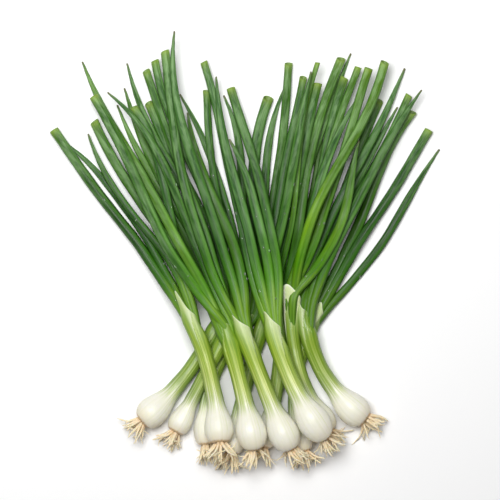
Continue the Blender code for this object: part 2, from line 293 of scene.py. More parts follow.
def between(tree, value, low, high, start=0.0, end=1.0):
    """Takes low to high into start to end along a smooth S."""
    node = put(tree, "ShaderNodeMapRange",
               {"Value": value, "From Min": low, "From Max": high, "To Min": start, "To Max": end},
               interpolation_type="SMOOTHSTEP")
    return node.outputs[0]


def tinted(tree, amount, under, over, blend="MIX"):
    """Lays one colour over another by an amount from 0 to 1."""
    node = put(tree, "ShaderNodeMix", {0: amount, 6: under, 7: over},
               data_type="RGBA", blend_type=blend)
    return node.outputs[2]


def noise(tree, place, scale, detail, roughness=0.5, warp=0.0):
    """Cloudy noise, about 0.3 to 0.7."""
    node = put(tree, "ShaderNodeTexNoise",
               {"Vector": place, "Scale": scale, "Detail": detail, "Roughness": roughness,
                "Distortion": warp})
    return node.outputs[0]


def new_group(name, inputs, outputs):
    """An empty shader node group with named inputs (kind, preset) and named outputs."""
    group = bpy.data.node_groups.new(name, "ShaderNodeTree")
    for socket, (kind, preset) in inputs.items():
        made = group.interface.new_socket(socket, in_out="INPUT", socket_type=kind)
        if preset is not None:
            made.default_value = preset
    for socket, kind in outputs.items():
        group.interface.new_socket(socket, in_out="OUTPUT", socket_type=kind)
    return group, group.nodes.new("NodeGroupInput").outputs, group.nodes.new("NodeGroupOutput")


FLOAT = "NodeSocketFloat"
VECTOR = "NodeSocketVector"

vein_group, given, result = new_group(
    "lengthwise_veins",
    {"Skin": (VECTOR, None), "Fineness": (FLOAT, 6.0), "Stretch": (FLOAT, 12.0)},
    {"Veins": FLOAT, "Streaks": FLOAT})
tree = vein_group
parts = put(tree, "ShaderNodeSeparateXYZ", {0: given["Skin"]}).outputs
full_turn = reckon(tree, "MULTIPLY", parts[0], 2 * math.pi)
across = reckon(tree, "MULTIPLY", reckon(tree, "COSINE", full_turn), given["Fineness"])
over_top = reckon(tree, "MULTIPLY", reckon(tree, "SINE", full_turn), given["Fineness"])
lengthwise = reckon(tree, "MULTIPLY", parts[1], given["Stretch"])
ring_place = put(tree, "ShaderNodeCombineXYZ", {0: across, 1: over_top, 2: lengthwise}).outputs[0]
fine_lines = noise(tree, ring_place, 4.2, 2.0, 0.6)
main_lines = noise(tree, ring_place, 0.95, 1.0, 0.5)
broad_lines = noise(tree, ring_place, 0.32, 2.0, 0.5)
all_lines = put(tree, "ShaderNodeMix", {0: 0.38, 2: main_lines, 3: fine_lines}).outputs[0]
tree.links.new(between(tree, all_lines, 0.43, 0.58), result.inputs["Veins"])
tree.links.new(between(tree, broad_lines, 0.38, 0.62), result.inputs["Streaks"])

bloom_group, given, result = new_group(
    "wax_bloom",
    {"Place": (VECTOR, None), "Size": (FLOAT, 40.0)},
    {"Bloom": FLOAT, "Specks": FLOAT})
tree = bloom_group
clouds = noise(tree, given["Place"], given["Size"], 4.0, 0.62, 0.4)
specks = noise(tree, given["Place"], reckon(tree, "MULTIPLY", given["Size"], 22.0), 2.0)
tree.links.new(between(tree, clouds, 0.36, 0.66), result.inputs["Bloom"])
tree.links.new(between(tree, specks, 0.60, 0.72), result.inputs["Specks"])


def new_finish(name, look):
    """An empty material with a Principled shader, and the places that its patterns read."""
    finish = bpy.data.materials.new(name)
    finish.use_nodes = True
    tree = finish.node_tree
    tree.nodes.clear()
    shader = put(tree, "ShaderNodeBsdfPrincipled", look)
    put(tree, "ShaderNodeOutputMaterial", {"Surface": shader.outputs[0]})
    skin = put(tree, "ShaderNodeUVMap", uv_map="skin").outputs[0]
    place = put(tree, "ShaderNodeTexCoord").outputs["Object"]
    return finish, tree, shader, skin, place


def mark_of(tree, mark, share=None):
    """A value that the mesh carries by name, or a share of it."""
    value = put(tree, "ShaderNodeAttribute", attribute_name=mark).outputs["Fac"]
    return value if share is None else reckon(tree, "MULTIPLY", value, share)


def frayed(tree, value, pattern, reach):
    """The value, moved by a pattern between `reach` down and `reach` up."""
    return reckon(tree, "ADD", value, between(tree, pattern, 0.0, 1.0, -reach, reach))


def grouped(tree, group, sockets):
    """Places a node group and returns its outputs."""
    return put(tree, "ShaderNodeGroup", sockets, node_tree=group).outputs


def raise_relief(tree, shader, height, strength, depth):
    """Gives the skin a fine relief."""
    bump = put(tree, "ShaderNodeBump", {"Strength": strength, "Distance": depth, "Height": height})
    tree.links.new(bump.outputs[0], shader.inputs["Normal"])


LEAF_GREEN = (0.132, 0.335, 0.054, 1)
LEAF_DEEP = (0.020, 0.098, 0.005, 1)
LEAF_LIME = (0.240, 0.460, 0.010, 1)
LEAF_BLUE = (0.060, 0.175, 0.060, 1)
LEAF_YOUNG = (0.078, 0.262, 0.002, 1)
FORK_GREEN = (0.180, 0.350, 0.015, 1)
# Wax bloom, partly real and partly a painted highlight on the leaf's upper side.
LEAF_WAX_HIGHLIGHT = (0.380, 0.600, 0.275, 1)
LEAF_VEIN_TINT = (0.38, 0.50, 0.28, 1)
# Painted shade on a leaf's sides, where its ring faces sideways.
LEAF_FLANK_SHADE_TINT = (0.26, 0.42, 0.17, 1)
# Painted shade for strands that lie low in the heap.
LEAF_HEAP_SHADE_TINT = (0.26, 0.42, 0.20, 1)
CUT_EDGE = (0.290, 0.420, 0.050, 1)
CUT_INSIDE = (0.170, 0.270, 0.060, 1)
DRY_OLIVE = (0.120, 0.200, 0.060, 1)
DRY_TIP = (0.170, 0.165, 0.085, 1)

leaf_finish, tree, shader, skin, place = new_finish("leaf_skin", {
    "Roughness": 0.42, "IOR": 1.42, "Specular IOR Level": 0.34, "Subsurface Weight": 0.06,
    "Subsurface Radius": (0.4, 1.0, 0.2), "Subsurface Scale": 0.002})
veins = grouped(tree, vein_group, {"Skin": skin, "Fineness": 2.9, "Stretch": 7.0})
off_place = put(tree, "ShaderNodeVectorMath", {0: skin, 1: (0.22, 1.0, 1.0)}, operation="MULTIPLY")
on_leaf = put(tree, "ShaderNodeVectorMath", {0: off_place.outputs[0], 1: place}, operation="ADD")
wax = grouped(tree, bloom_group, {"Place": on_leaf.outputs[0], "Size": 26.0})
tint = mark_of(tree, "tint")
colour = tinted(tree, veins["Streaks"], LEAF_DEEP, LEAF_GREEN)
colour = tinted(tree, between(tree, tint, 0.0, 1.0, 0.0, 0.85), colour, LEAF_LIME)
colour = tinted(tree, between(tree, tint, 0.0, -1.0, 0.0, 0.75), colour, LEAF_BLUE)
young = frayed(tree, mark_of(tree, "young"), veins["Streaks"], 0.07)
colour = tinted(tree, between(tree, young, 0.05, 0.75, 0.0, 0.9), colour, LEAF_YOUNG)
colour = tinted(tree, between(tree, young, 0.72, 1.0), colour, FORK_GREEN)
# Wax bloom laid mostly on the upper side and away from the fork: partly real bloom, partly painted
# highlight.
bloom_and_highlight = reckon(tree, "MULTIPLY", wax["Bloom"], mark_of(tree, "wax_and_highlight"))
colour = tinted(tree, reckon(tree, "MULTIPLY", bloom_and_highlight, 0.52), colour, LEAF_WAX_HIGHLIGHT)
vein_show = reckon(tree, "MULTIPLY", veins["Veins"], 0.55)
colour = tinted(tree, vein_show, colour, LEAF_VEIN_TINT, "MULTIPLY")
# Painted shade: each leaf's sides are darkened and its top is left light.
colour = tinted(tree, mark_of(tree, "flank_shade", 0.75), colour, LEAF_FLANK_SHADE_TINT, "MULTIPLY")
# Painted shade: leaves low in the heap, near the forks, are darkened.
colour = tinted(tree, mark_of(tree, "heap_shade", 0.85), colour, LEAF_HEAP_SHADE_TINT, "MULTIPLY")
colour = tinted(tree, mark_of(tree, "cut", 0.8), colour, CUT_EDGE)
colour = tinted(tree, mark_of(tree, "inside"), colour, CUT_INSIDE)
ragged = frayed(tree, mark_of(tree, "dry"), wax["Bloom"], 0.12)
colour = tinted(tree, between(tree, ragged, 0.15, 0.65, 0.0, 0.85), colour, DRY_OLIVE)
colour = tinted(tree, between(tree, ragged, 0.62, 0.95), colour, DRY_TIP)
tree.links.new(colour, shader.inputs["Base Color"])
dulled = reckon(tree, "MULTIPLY_ADD", bloom_and_highlight, 0.18)
dulled.node.inputs[2].default_value = 0.36
tree.links.new(dulled, shader.inputs["Roughness"])
relief = reckon(tree, "ADD", veins["Veins"], reckon(tree, "MULTIPLY", wax["Specks"], 0.4))
raise_relief(tree, shader, relief, 0.55, 0.00016)

LEAF_RINGS = 210            # rings along the outside of a leaf
LEAF_COLS = 40              # points round it
SHEATHED = 0.034            # how far below the fork a leaf starts, inside its stem
WALL = 0.00045              # thickness of a leaf's wall at a cut
HOLLOW = 0.011              # how far the inside is made behind a cut
CUT_RADIUS = 0.0011         # a solid whose end is wider than this was cut
BASE_SHARE = 0.92           # width in the stem, as a share of the solid's widest
FULL_GAIN = 0.10            # what the width gains past the fork, and from where to where
GAIN_SPAN = (-0.020, 0.030)
FLATNESS = 0.66             # height over width
IN_STEM_SHARE = 0.84        # height in the stem over the stem's radius, left over this span
LEAVING_SPAN = (-0.016, 0.034)
END_SLANT = 0.022           # a cut's slant fades out over this run behind it
LEAN_UP = (-0.15, 0.50)     # least and most slant of a cut, along and across
LEAN_ASIDE = (-0.24, 0.24)
FURROW_FACING = (0.9, 2.3)  # the lengthwise furrow, in radians
FURROW_BREADTH = 0.34
FURROW_DEPTH = (0.03, 0.13)
CRINKLE = 0.10              # height of the crinkles of a dry tip, and how far they reach
CRINKLE_RUN = 0.012
THINNEST = 0.00006          # no ring is thinner than this
SWAY = 0.0011               # how far a leaf wanders sideways off its solid's middle line
DEEP, ON_TOP = 0.008, 0.027     # a strand lower than the first is deep in the heap's shade
CUT_BAND = 0.0035           # how far the colour of a cut, a dry tip and the fork reaches
DRY_BAND = 0.007
YOUNG_BAND = 0.09
LEAF_WAVES = ((2, 0.035, 1.0), (3, 0.028, -1.0), (7, 0.010, 0.6))  # turns, height, drift

leaf_nodes = {}
for node in sorted(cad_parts):
    if "_leaf_" in node:
        leaf_nodes.setdefault(node.split("_leaf_")[0], []).append(node)

# Leaves with a colour of their own: 1 is lime, -1 is bluish, and the rest are drawn by lot.
LIME_FADE = 0.6             # share of the lime that is gone 120 mm up such a leaf
LEAF_TINTS = {"onion_08_leaf_4": 0.95, "onion_08_leaf_5": 0.60, "onion_10_leaf_3": 0.1,
              "onion_12_leaf_3": -0.4, "onion_11_leaf_5": -0.35, "onion_09_leaf_4": 0.1}


def grown_path(leaf, stem):
    """The leaf's path with its hidden foot: SHEATHED metres of the stem's own middle line come
    first, and the step sideways to the leaf's start grows along them in a smooth S."""
    back = np.arange(-SHEATHED, -0.0005, LINE_STEP)
    start = stem["run"][-1]
    foot = read(stem, "middle", start + back)
    step = leaf["middle"][0] - stem["middle"][-1]
    foot = foot + step * rising(back, -SHEATHED, 0.002)[:, None]
    line = np.concatenate([foot, leaf["middle"][2:]])
    radii = np.concatenate([np.full(len(foot), leaf["radius"][0]), leaf["radius"][2:]])
    return path_through(line, radii, 0.005)


def leaf_outline(path, stem_radius):
    """Half width and half height along a leaf, from its hidden foot to its tip.

    The width is the solid's widest, times a share that rises a little from the stem to past the
    fork, until the solid's own taper takes over.
    The height falls from the stem's own to FLATNESS of the width, but is at least the solid's.
    """
    solid, out = path["radius"], path["run"] - SHEATHED
    widest = int(np.argmax(solid))
    share = BASE_SHARE + FULL_GAIN * rising(out, *GAIN_SPAN)
    taper = np.where(np.arange(len(solid)) < widest, solid.max(), solid)
    wide = eased((taper * share)[:, None], path["run"][1], 0.006)[:, 0]
    in_stem = 1 - rising(out, *LEAVING_SPAN)
    high = np.maximum(np.minimum(solid, wide) * 0.97, wide * FLATNESS)
    high = high * (1 - in_stem) + IN_STEM_SHARE * stem_radius * in_stem
    return wide, eased(high[:, None], path["run"][1], 0.005)[:, 0]


def phase(lots, shape=None):
    """Where a wave starts, drawn by lot."""
    return lots.uniform(0, 6, shape)


def leaf_surface(path, is_cut, stem_radius, lots):
    """Rings up the outside of a leaf and, behind a cut, back down the inside.

    The ring's radius is scaled by 1 + small waves of two, three and seven turns and one shallow
    lengthwise furrow, all of which drift slowly round the leaf. A cut is slanted: near it a ring
    moves along by lean, a sum of shares of sin(angle) and cos(angle), most at the cut itself.
    """
    length = path["run"][-1]
    wide, high = leaf_outline(path, stem_radius)
    outside = np.linspace(0.0, length, LEAF_RINGS)
    if is_cut:
        rim = np.array([0.15, 0.5, 0.85, 1.0]) * WALL
        lip = np.array([0.9, 1.0, 0.9, 0.4]) * WALL * 0.4
        inside = length - np.linspace(0.0006, HOLLOW, 16)
        run = np.concatenate([outside[:-1], length + lip, inside])
        inward = np.concatenate([np.zeros(LEAF_RINGS - 1), rim, np.full(16, WALL)])
        is_inside = np.concatenate([np.zeros(LEAF_RINGS - 1), [0.5, 1, 1, 1], np.ones(16)])
    else:
        nearing = np.array([0.35, 0.75, 1.0]) * 0.0004
        run = np.concatenate([outside, length + nearing])
        inward = np.concatenate([np.zeros(LEAF_RINGS), np.array([0.2, 0.55, 0.85]) * wide[-1]])
        is_inside = np.zeros(len(run))
    run, angle = np.broadcast_arrays(run[:, None], ring_angles(LEAF_COLS)[None, :])
    slant_zone = rising(run, length - END_SLANT, length)
    lean = lots.uniform(*LEAN_UP) * np.sin(angle) + lots.uniform(*LEAN_ASIDE) * np.cos(angle)
    run = run - slant_zone * lean * wide[-1] * is_cut
    to_end = np.maximum(length - run, 0.0)
    half_wide = np.interp(run, path["run"], wide)
    half_high = np.interp(run, path["run"], high)
    along = run / max(length, 0.05)
    drift = lots.uniform(-0.8, 0.8) * along
    waves = np.zeros_like(run)
    for turns, wave_height, drifting in LEAF_WAVES:
        waves = waves + wave_height * np.cos(turns * (angle + phase(lots) + drifting * drift))
    furrow_at = lots.uniform(*FURROW_FACING) + 0.5 * np.sin(along * 4 + phase(lots))
    depth = lots.uniform(*FURROW_DEPTH) * (0.6 + 0.4 * np.sin(along * 7 + phase(lots)))
    waves = waves - depth * np.exp(-(off(angle, furrow_at) / FURROW_BREADTH) ** 2)
    swell = 0.02 * np.sin(along * 23 + phase(lots)) + 0.015 * np.sin(along * 51)
    if not is_cut:
        crinkle = CRINKLE * np.exp(-to_end / CRINKLE_RUN)
        waves = waves + crinkle * np.cos(3 * angle + run * 700 + phase(lots))
    scale = 1 + waves + swell
    half_wide = np.maximum(half_wide * scale - inward[:, None], THINNEST)
    half_high = np.maximum(half_high * scale - inward[:, None], THINNEST)
    out = run - SHEATHED
    sway = SWAY * np.sin(along * 9 + phase(lots)) * rising(out, 0.03, 0.08)
    points = around(path, run, angle, half_wide, half_high, sway)
    height = read(path, "middle", run)[..., 2]
    marks = {
        # Painted shade on strands low in the heap, near the fork.
        "heap_shade": (1 - rising(height, DEEP, ON_TOP)) * (1 - rising(out, 0.08, 0.17)),
        "young": 1 - rising(out, 0.0, YOUNG_BAND),
        # Mostly on the upper side and away from the fork: partly wax bloom, partly painted
        # highlight.
        "wax_and_highlight": 0.20 + 0.80 * rising(out, 0.04, 0.18) * rising(np.sin(angle), -0.4, 0.9),
        "inside": is_inside[:, None],
        # Painted shade on the sides of the leaf.
        "flank_shade": np.abs(np.cos(angle)) ** 4,
        "cut": is_cut * np.exp(-to_end / CUT_BAND),
        "dry": (not is_cut) * np.exp(-to_end / DRY_BAND),
    }
    return points, run, marks


PLATE_AREA = 0.00004        # a cut across the roots is smaller than this, one across the bulb isn't
BEND_RUN = 0.07             # the curve of this much line is carried on below the bulb
LOW_FROM, LOW_TO = -1.7, 3.0    # reach of that line round the widest ring, in bulb radii
JOIN_FROM, JOIN_TO = 2.2, 2.4   # where the upper line takes over from it, in bulb radii


def onion_path(node):
    """The path from the root plate through bulb and stem to the fork.

    Cuts near the plate meet the roots as well, so the line below the widest ring is the parabola
    of the line above it, carried on. Upright cuts across it give the height of its middle, which
    a cubic evens out. The plate is where cuts square to this line first reach PLATE_AREA.
    """
    corners = corners_of(node)
    rough = strand_path(node, DECAGON_SHARE, PLATE_AREA)[0]
    widest = int(np.argmax(rough["radius"]))
    radius = rough["radius"][widest]
    run = rough["run"][widest:] - rough["run"][widest]
    line = rough["middle"][widest:]
    bend = np.polyfit(run[run < BEND_RUN], line[run < BEND_RUN, :2], 2)
    back = np.arange(LOW_FROM * radius, LOW_TO * radius, LINE_STEP)[:, None]
    plan = bend[0] * back ** 2 + bend[1] * back + bend[2]
    low = np.column_stack([plan, np.full(len(back), radius)])
    upright, area, _ = sliced(corners, low, unit(np.gradient(low, axis=0)))
    held = area > PLATE_AREA
    heights = np.polyfit(back[held, 0], upright[held, 2], 3)
    low[:, 2] = np.polyval(heights, np.maximum(back[:, 0], back[held, 0].min()))
    _, area, half_width = sliced(corners, low, unit(np.gradient(low, axis=0)))
    first = int(np.argmax(area > PLATE_AREA))
    last = int(np.argmax(back[:, 0] > JOIN_FROM * radius))
    above = run > JOIN_TO * radius
    points = np.concatenate([low[first:last], line[above]])
    radii = np.concatenate([half_width[first:last], rough["radius"][widest:][above]])
    path = path_through(points, radii, ONION_REACH)
    path["bulb_radius"] = half_width[first:last].max()
    return path


onion_paths = {onion: onion_path(onion) for onion in sorted(leaf_nodes)}


STEM_PLUMP = 1.09           # soft stems bulge a little past their solids


def stem_radius_of(path):
    """The even stem's radius: the mean over the upper part of the path, a little plumper."""
    count = len(path["radius"])
    return path["radius"][int(count * 0.78):int(count * 0.96)].mean() * STEM_PLUMP


onion_spreads = {}
drop_spots = []
for onion, nodes in leaf_nodes.items():
    stem = onion_paths[onion]
    stem_radius = stem_radius_of(stem)
    reaches = []
    for node in nodes:
        own, tip_radius = strand_path(node, OCTAGON_SHARE)
        path = grown_path(own, stem)
        lots = np.random.default_rng(int(node[6:8]) * 100 + int(node[-1]))
        points, run, marks = leaf_surface(path, tip_radius > CUT_RADIUS, stem_radius, lots)
        tint = LEAF_TINTS.get(node, lots.uniform(-0.45, 0.4))
        marks["tint"] = tint * (1 - LIME_FADE * (tint > 0.5) * rising(run - SHEATHED, 0.03, 0.12))
        blade = closed_tubes(f"{node}_blade", points[None], run[None], marks, leaf_finish)
        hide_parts(node)
        drop_spots.append(points)
        at_mouth = int(np.argmax(run[:, 0] > SHEATHED - 0.006))
        off_middle = (points[at_mouth] - stem["middle"][-1]) @ stem["aside"][-1]
        reaches.append(np.abs(off_middle).max())
    onion_spreads[onion] = max(reaches)

# ------------------------------------------------------------
# The bulbs and stems.
# A bulb is layer on layer of white leaf bases round a root plate. They run on as the stem, a
# rolled sheath that turns green with light, and the outermost opens in a thin slanted mouth.
# ------------------------------------------------------------

BULB_WHITE = (0.880, 0.860, 0.760, 1)
BULB_CREAM = (0.850, 0.730, 0.520, 1)
BULB_SHADE = (0.780, 0.780, 0.570, 1)
PLATE_TAN = (0.620, 0.400, 0.190, 1)
STEM_PALE = (0.650, 0.710, 0.250, 1)
STEM_GREEN = (0.380, 0.500, 0.055, 1)
# Painted shade on the stem's sides: darker and greener than its top.
STEM_FLANK_SHADE = (0.160, 0.320, 0.008, 1)
VEIN_GREEN = (0.170, 0.310, 0.012, 1)
# Painted shade for stems that lie low in the heap.
STEM_HEAP_SHADE_TINT = (0.42, 0.55, 0.35, 1)
MOUTH_PALE = (0.680, 0.780, 0.380, 1)
MOUTH_EDGE = (0.850, 0.900, 0.620, 1)

onion_finish, tree, shader, skin, place = new_finish("onion_skin", {
    "Roughness": 0.34, "IOR": 1.42, "Subsurface Weight": 0.22,
    "Subsurface Radius": (1.0, 0.9, 0.45), "Subsurface Scale": 0.004})
veins = grouped(tree, vein_group, {"Skin": skin, "Fineness": 4.6, "Stretch": 6.0})
wax = grouped(tree, bloom_group, {"Place": place, "Size": 60.0})
green = mark_of(tree, "green")
uneven = frayed(tree, frayed(tree, green, veins["Veins"], 0.07), veins["Streaks"], 0.05)
colour = tinted(tree, wax["Bloom"], BULB_WHITE, BULB_SHADE)
colour = tinted(tree, 0.72, colour, BULB_WHITE)
colour = tinted(tree, mark_of(tree, "low", 0.55), colour, BULB_CREAM)
colour = tinted(tree, between(tree, uneven, 0.00, 0.27), colour, STEM_PALE)
colour = tinted(tree, between(tree, uneven, 0.22, 0.62), colour, STEM_GREEN)
colour = tinted(tree, between(tree, uneven, 0.60, 0.92), colour, FORK_GREEN)
on_green = between(tree, green, 0.0, 0.20, 0.0, 0.75)
# Painted shade: the green stem's sides are darkened against its lighter top.
flank_shade_show = reckon(tree, "MULTIPLY", mark_of(tree, "flank_shade"), on_green)
colour = tinted(tree, flank_shade_show, colour, STEM_FLANK_SHADE)
vein_show = reckon(tree, "MULTIPLY", veins["Veins"], between(tree, green, 0.0, 0.20, 0.03, 0.50))
colour = tinted(tree, vein_show, colour, VEIN_GREEN)
# Painted shade: stems low in the heap are darkened.
colour = tinted(tree, mark_of(tree, "heap_shade", 0.70), colour, STEM_HEAP_SHADE_TINT, "MULTIPLY")
colour = tinted(tree, mark_of(tree, "mouth", 0.75), colour, MOUTH_PALE)
colour = tinted(tree, mark_of(tree, "edge", 0.70), colour, MOUTH_EDGE)
plate_rim = between(tree, veins["Veins"], 0.0, 1.0, -0.15, 0.1)
plate = reckon(tree, "ADD", mark_of(tree, "plate"), plate_rim)
colour = tinted(tree, between(tree, plate, 0.25, 1.0, 0.0, 0.8), colour, PLATE_TAN)
tree.links.new(colour, shader.inputs["Base Color"])
rough = between(tree, wax["Bloom"], 0.0, 1.0, 0.28, 0.42)
tree.links.new(rough, shader.inputs["Roughness"])
relief = reckon(tree, "ADD", veins["Veins"], reckon(tree, "MULTIPLY", wax["Bloom"], 0.6))
raise_relief(tree, shader, relief, 0.4, 0.00018)

NECK = 1.9                  # from the widest ring up to where the bulb ends, in bulb radii
LONG_NECK = 3.6             # the same for the part of its swelling that runs on up the stem
LONG_SHARE = 0.35           # share of that part
PLATE_RADIUS = 0.0045       # the hard disc that the roots grow from
LOW_RINGS = 30              # rings from the plate to the widest one
HIGH_RINGS = 210            # rings from there to the mouth
ONION_COLS = 96             # points round a bulb
MOUTH_WALL = 0.0005         # thickness of the sheath at its mouth
MOUTH_DEPTH = 0.010         # how far the inside of the mouth is made
LIFT_RUN = 0.034            # the sheath's rings turn slanted over this run
MOUTH_DROP = 0.0045         # how far below the fork the mouth's middle height is
FLARE_RUN = 0.040           # the stem widens into the fork over this length
DIVE_RUN = 0.016            # where no skin stands free, the sheath closes in on the leaves over this
SEAM_STEP = 0.00060         # height of the edge where the sheath laps over itself
DIVE = 0.34                 # share of its radius by which a hugging sheath shrinks at its mouth
PALE_BAND = 0.017           # how far the pale colour of a free mouth reaches
EDGE_BAND = 0.0008          # breadth of the light line along the mouth
SEAM_BAND = 0.0009          # the same along the lapped edge

# How each sheath's mouth is cut: how far one side stands above its middle height and the other
# below it, which way the high side faces (degrees from the stem's right, over the top), the
# length, facing and breadth of a pointed tongue, where the lapped edge leaves the mouth, and how
# freely the skin stands (above 1 it flares), its facing and half its breadth. Elsewhere it hugs
# the leaves.
MOUTHS = {
    "onion_01": (0.004, 150, 0.002, 60, 0.5, 60, 0.3, 90, 35),
    "onion_02": (0.003, 60, 0.002, 90, 0.5, 120, 0.0, 90, 30),
    "onion_03": (0.003, 90, 0.002, 90, 0.5, 50, 0.0, 90, 30),
    "onion_04": (0.003, 60, 0.002, 90, 0.5, 70, 0.0, 90, 30),
    "onion_05": (0.003, 60, 0.002, 90, 0.5, 90, 0.3, 90, 30),
    "onion_06": (0.004, 140, 0.004, 110, 0.4, 60, 0.8, 100, 45),
    "onion_07": (0.006, 170, 0.009, 150, 0.3, 100, 0.7, 140, 35),
    "onion_08": (0.009, 115, 0.004, 120, 0.6, 120, 2.3, 95, 80),
    "onion_09": (0.010, 165, 0.013, 120, 0.35, 75, 1.0, 95, 50),
    "onion_10": (0.005, 60, 0.003, 90, 0.5, 110, 0.25, 80, 30),
    "onion_11": (0.0080, 165, 0.004, 125, 0.45, 38, 1.0, 82, 52),
    "onion_12": (0.0085, 165, 0.004, 120, 0.45, 40, 1.0, 84, 52),
}


def bulb_radius_at(run, belly, bulb_radius, stem_radius):
    """A half ellipse from the plate up to the widest ring, then a short and a long smooth S, mixed
    by LONG_SHARE, down to the stem."""
    below = np.clip((belly - run) / belly, 0.0, 1.0)
    low = PLATE_RADIUS + (bulb_radius - PLATE_RADIUS) * np.sqrt(1.0 - below ** 2)
    short = 1.0 - rising(run, belly, belly + NECK * bulb_radius)
    long = 1.0 - rising(run, belly, belly + LONG_NECK * bulb_radius)
    swelling = short + (long - short) * LONG_SHARE
    high = stem_radius + (bulb_radius - stem_radius) * swelling
    return np.where(run < belly, low, high)


def onion_surface(path, spread, mouth, lots):
    """Rings from the root plate up the bulb and stem to the mouth, then back down the inside.

    The ring is nearly round on the bulb, with slow swells of two and three turns and faint ribs.
    Towards the fork it widens sideways to `spread`. A lapped edge runs up the stem to the mouth:
    the radius falls by SEAM_STEP once round the ring and jumps back at that line. The mouth's
    height round the ring is lift cos(angle - facing) plus the tongue's bell. Where the skin isn't
    free, the ring shrinks by DIVE towards the mouth, so the leaves come out through its wall.
    """
    lift, facing, tongue, tongue_facing, tongue_breadth, seam_facing = mouth[:6]
    free, free_facing, free_breadth = mouth[6:]
    length = path["run"][-1] - MOUTH_DROP
    belly = path["run"][int(np.argmax(path["radius"]))]
    bulb_radius = path["bulb_radius"]
    stem_radius = stem_radius_of(path)
    swing = np.linspace(0.0, np.pi / 2, LOW_RINGS)
    low = belly * (1 - np.cos(swing))
    high = np.linspace(belly, length, HIGH_RINGS)[1:]
    lip = np.array([0.0002, 0.00035, 0.0002])
    inside = length - np.linspace(0.0008, MOUTH_DEPTH, 12)
    run = np.concatenate([[0.0011, 0.0004], low, high, length + lip, inside])
    inward = np.concatenate([[0.62 * PLATE_RADIUS, 0.14 * PLATE_RADIUS],
                             np.zeros(len(low) + len(high)),
                             np.array([0.2, 0.5, 0.8]) * MOUTH_WALL,
                             np.full(len(inside), MOUTH_WALL)])
    is_inside = np.arange(len(run))[:, None] >= len(run) - len(lip) - len(inside)
    run, angle = np.broadcast_arrays(run[:, None], ring_angles(ONION_COLS)[None, :])
    toward = off(angle, np.radians(tongue_facing))
    rise = lift * np.cos(angle - np.radians(facing))
    rise = rise + tongue * np.exp(-(toward / tongue_breadth) ** 2)
    run = run + rising(run, length - LIFT_RUN, length) * rise
    to_mouth = np.maximum(length + rise - run, 0.0)
    off_free = off(angle, np.radians(free_facing)) / np.radians(free_breadth)
    stands = free * np.exp(-off_free ** 4)
    hugs = DIVE * (1 - stands) * rising(-to_mouth, -DIVE_RUN, 0.0)
    solid = bulb_radius_at(np.maximum(run, 0.0), belly, bulb_radius, stem_radius)
    on_stem = rising(run, belly + 1.4 * bulb_radius, belly + 3.0 * bulb_radius)
    flare = rising(run, length - FLARE_RUN, length + 0.008)
    wide = (solid + (spread - stem_radius) * flare) * (1 - hugs)
    high_half = solid * (1 - 0.06 * flare) * (1 - hugs)
    swell = 0.016 * np.cos(2 * angle + phase(lots)) + 0.012 * np.cos(3 * angle + phase(lots))
    swell = swell + 0.010 * np.cos(2 * angle + run * 60 + phase(lots))
    ribs = 0.0035 * np.cos(17 * angle + 2 * np.sin(run * 40) + phase(lots))
    ribs = ribs + 0.0025 * np.cos(26 * angle + phase(lots) - run * 9)
    scale = 1 + (swell + ribs * (0.4 + 1.6 * on_stem)) * rising(run, 0.0, 0.006)
    seam_at = np.radians(seam_facing) + 38.0 * to_mouth * np.exp(-to_mouth / 0.03)
    height = read(path, "middle", run)[..., 2]
    past_seam = np.mod(angle - seam_at, 2 * np.pi) / (2 * np.pi)
    lap = SEAM_STEP * (1 - past_seam) * on_stem
    points = around(path, run, angle, wide * scale + lap - inward[:, None],
                    high_half * scale + lap - inward[:, None])
    neck = belly + 0.90 * bulb_radius
    seam_edge = np.exp(-past_seam * 2 * np.pi * solid / SEAM_BAND)
    seam_edge = seam_edge * rising(run, length - LIFT_RUN, length - 0.012) * stands.max()
    rim = np.where(is_inside, 1.0, np.exp(-to_mouth / EDGE_BAND))
    marks = {
        "green": np.clip((run - neck) / (length + MOUTH_DROP - neck), 0.0, 1.1),
        "low": 1 - rising(run, 0.0, belly * 1.02),
        "plate": 1 - rising(run, 0.0003, 0.0030),
        # Painted shade on the sides of the stem.
        "flank_shade": np.abs(np.cos(angle)) ** 3,
        # Painted shade on stems low in the heap.
        "heap_shade": (1 - rising(height, DEEP, ON_TOP)) * on_stem,
        "mouth": np.where(is_inside, 1.0, np.exp(-(to_mouth / PALE_BAND) ** 2) * stands),
        "edge": np.maximum(rim * stands, seam_edge),
    }
    return points, run, marks


for onion, path in onion_paths.items():
    lots = np.random.default_rng(int(onion[6:8]) + 70)
    points, run, marks = onion_surface(path, onion_spreads[onion], MOUTHS[onion], lots)
    bulb = closed_tubes(f"{onion}_bulb_and_stem", points[None], run[None], marks,
                        onion_finish)
    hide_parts(onion)

# ------------------------------------------------------------
# The root tufts.
# Under each bulb a disc of woody tissue carries a brush of fleshy roots, washed and trimmed. They
# fan out, bend, and thin towards their ends; some carry a finer side root.
# ------------------------------------------------------------

ROOT_CREAM = (1.000, 0.910, 0.690, 1)
ROOT_TAN = (0.920, 0.710, 0.410, 1)
ROOT_BROWN = (0.500, 0.230, 0.060, 1)

